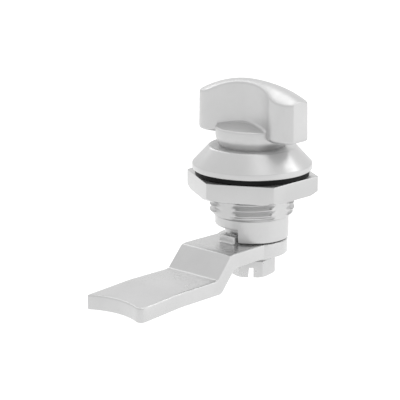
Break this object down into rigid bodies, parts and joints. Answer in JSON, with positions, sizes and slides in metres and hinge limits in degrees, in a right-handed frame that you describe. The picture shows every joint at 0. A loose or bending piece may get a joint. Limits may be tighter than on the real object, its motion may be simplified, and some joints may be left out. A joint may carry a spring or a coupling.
{
  "type": "wing knob lock",
  "caption": "Quarter-turn panel lock with a wing knob on a coned flange, flat gasket, hexagon nut on a flatted barrel, and a cranked cam held by a slotted screw.",
  "frame": {"origin": "on the turning axis, at the underside of the flange where the gasket seats", "axes": "+Z along the axis towards the knob, -X along the cam at rest, Y along the wing at rest"},
  "size_m": [0.0682, 0.0324, 0.052],
  "materials": {
    "casting": "pale silver-grey satin coat on a zinc casting",
    "nut_metal": "pale silver-grey satin",
    "cam_metal": "pale satin plated steel",
    "screw_steel": "pale satin plated steel",
    "seal_rubber": "matt black"
  },
  "bodies": {
    "case": {"housing": "casting", "flange_gasket": "seal_rubber"},
    "rotor": {"wing_knob": "casting", "spindle_seal": "seal_rubber", "cam": "cam_metal", "lock_washer": "screw_steel", "cam_screw": "screw_steel"},
    "nut": {"hex_nut": "nut_metal"}
  },
  "joints": [
    {"name": "knob_turn", "type": "hinge", "parent": "case", "child": "rotor", "pos_m": [0, 0, 0], "axis": [0, 0, -1], "range_deg": [0, 90]},
    {"name": "nut_travel", "type": "slide", "parent": "case", "child": "nut", "axis": [0, 0, -1], "range_m": [0, 0.004]}
  ]
}
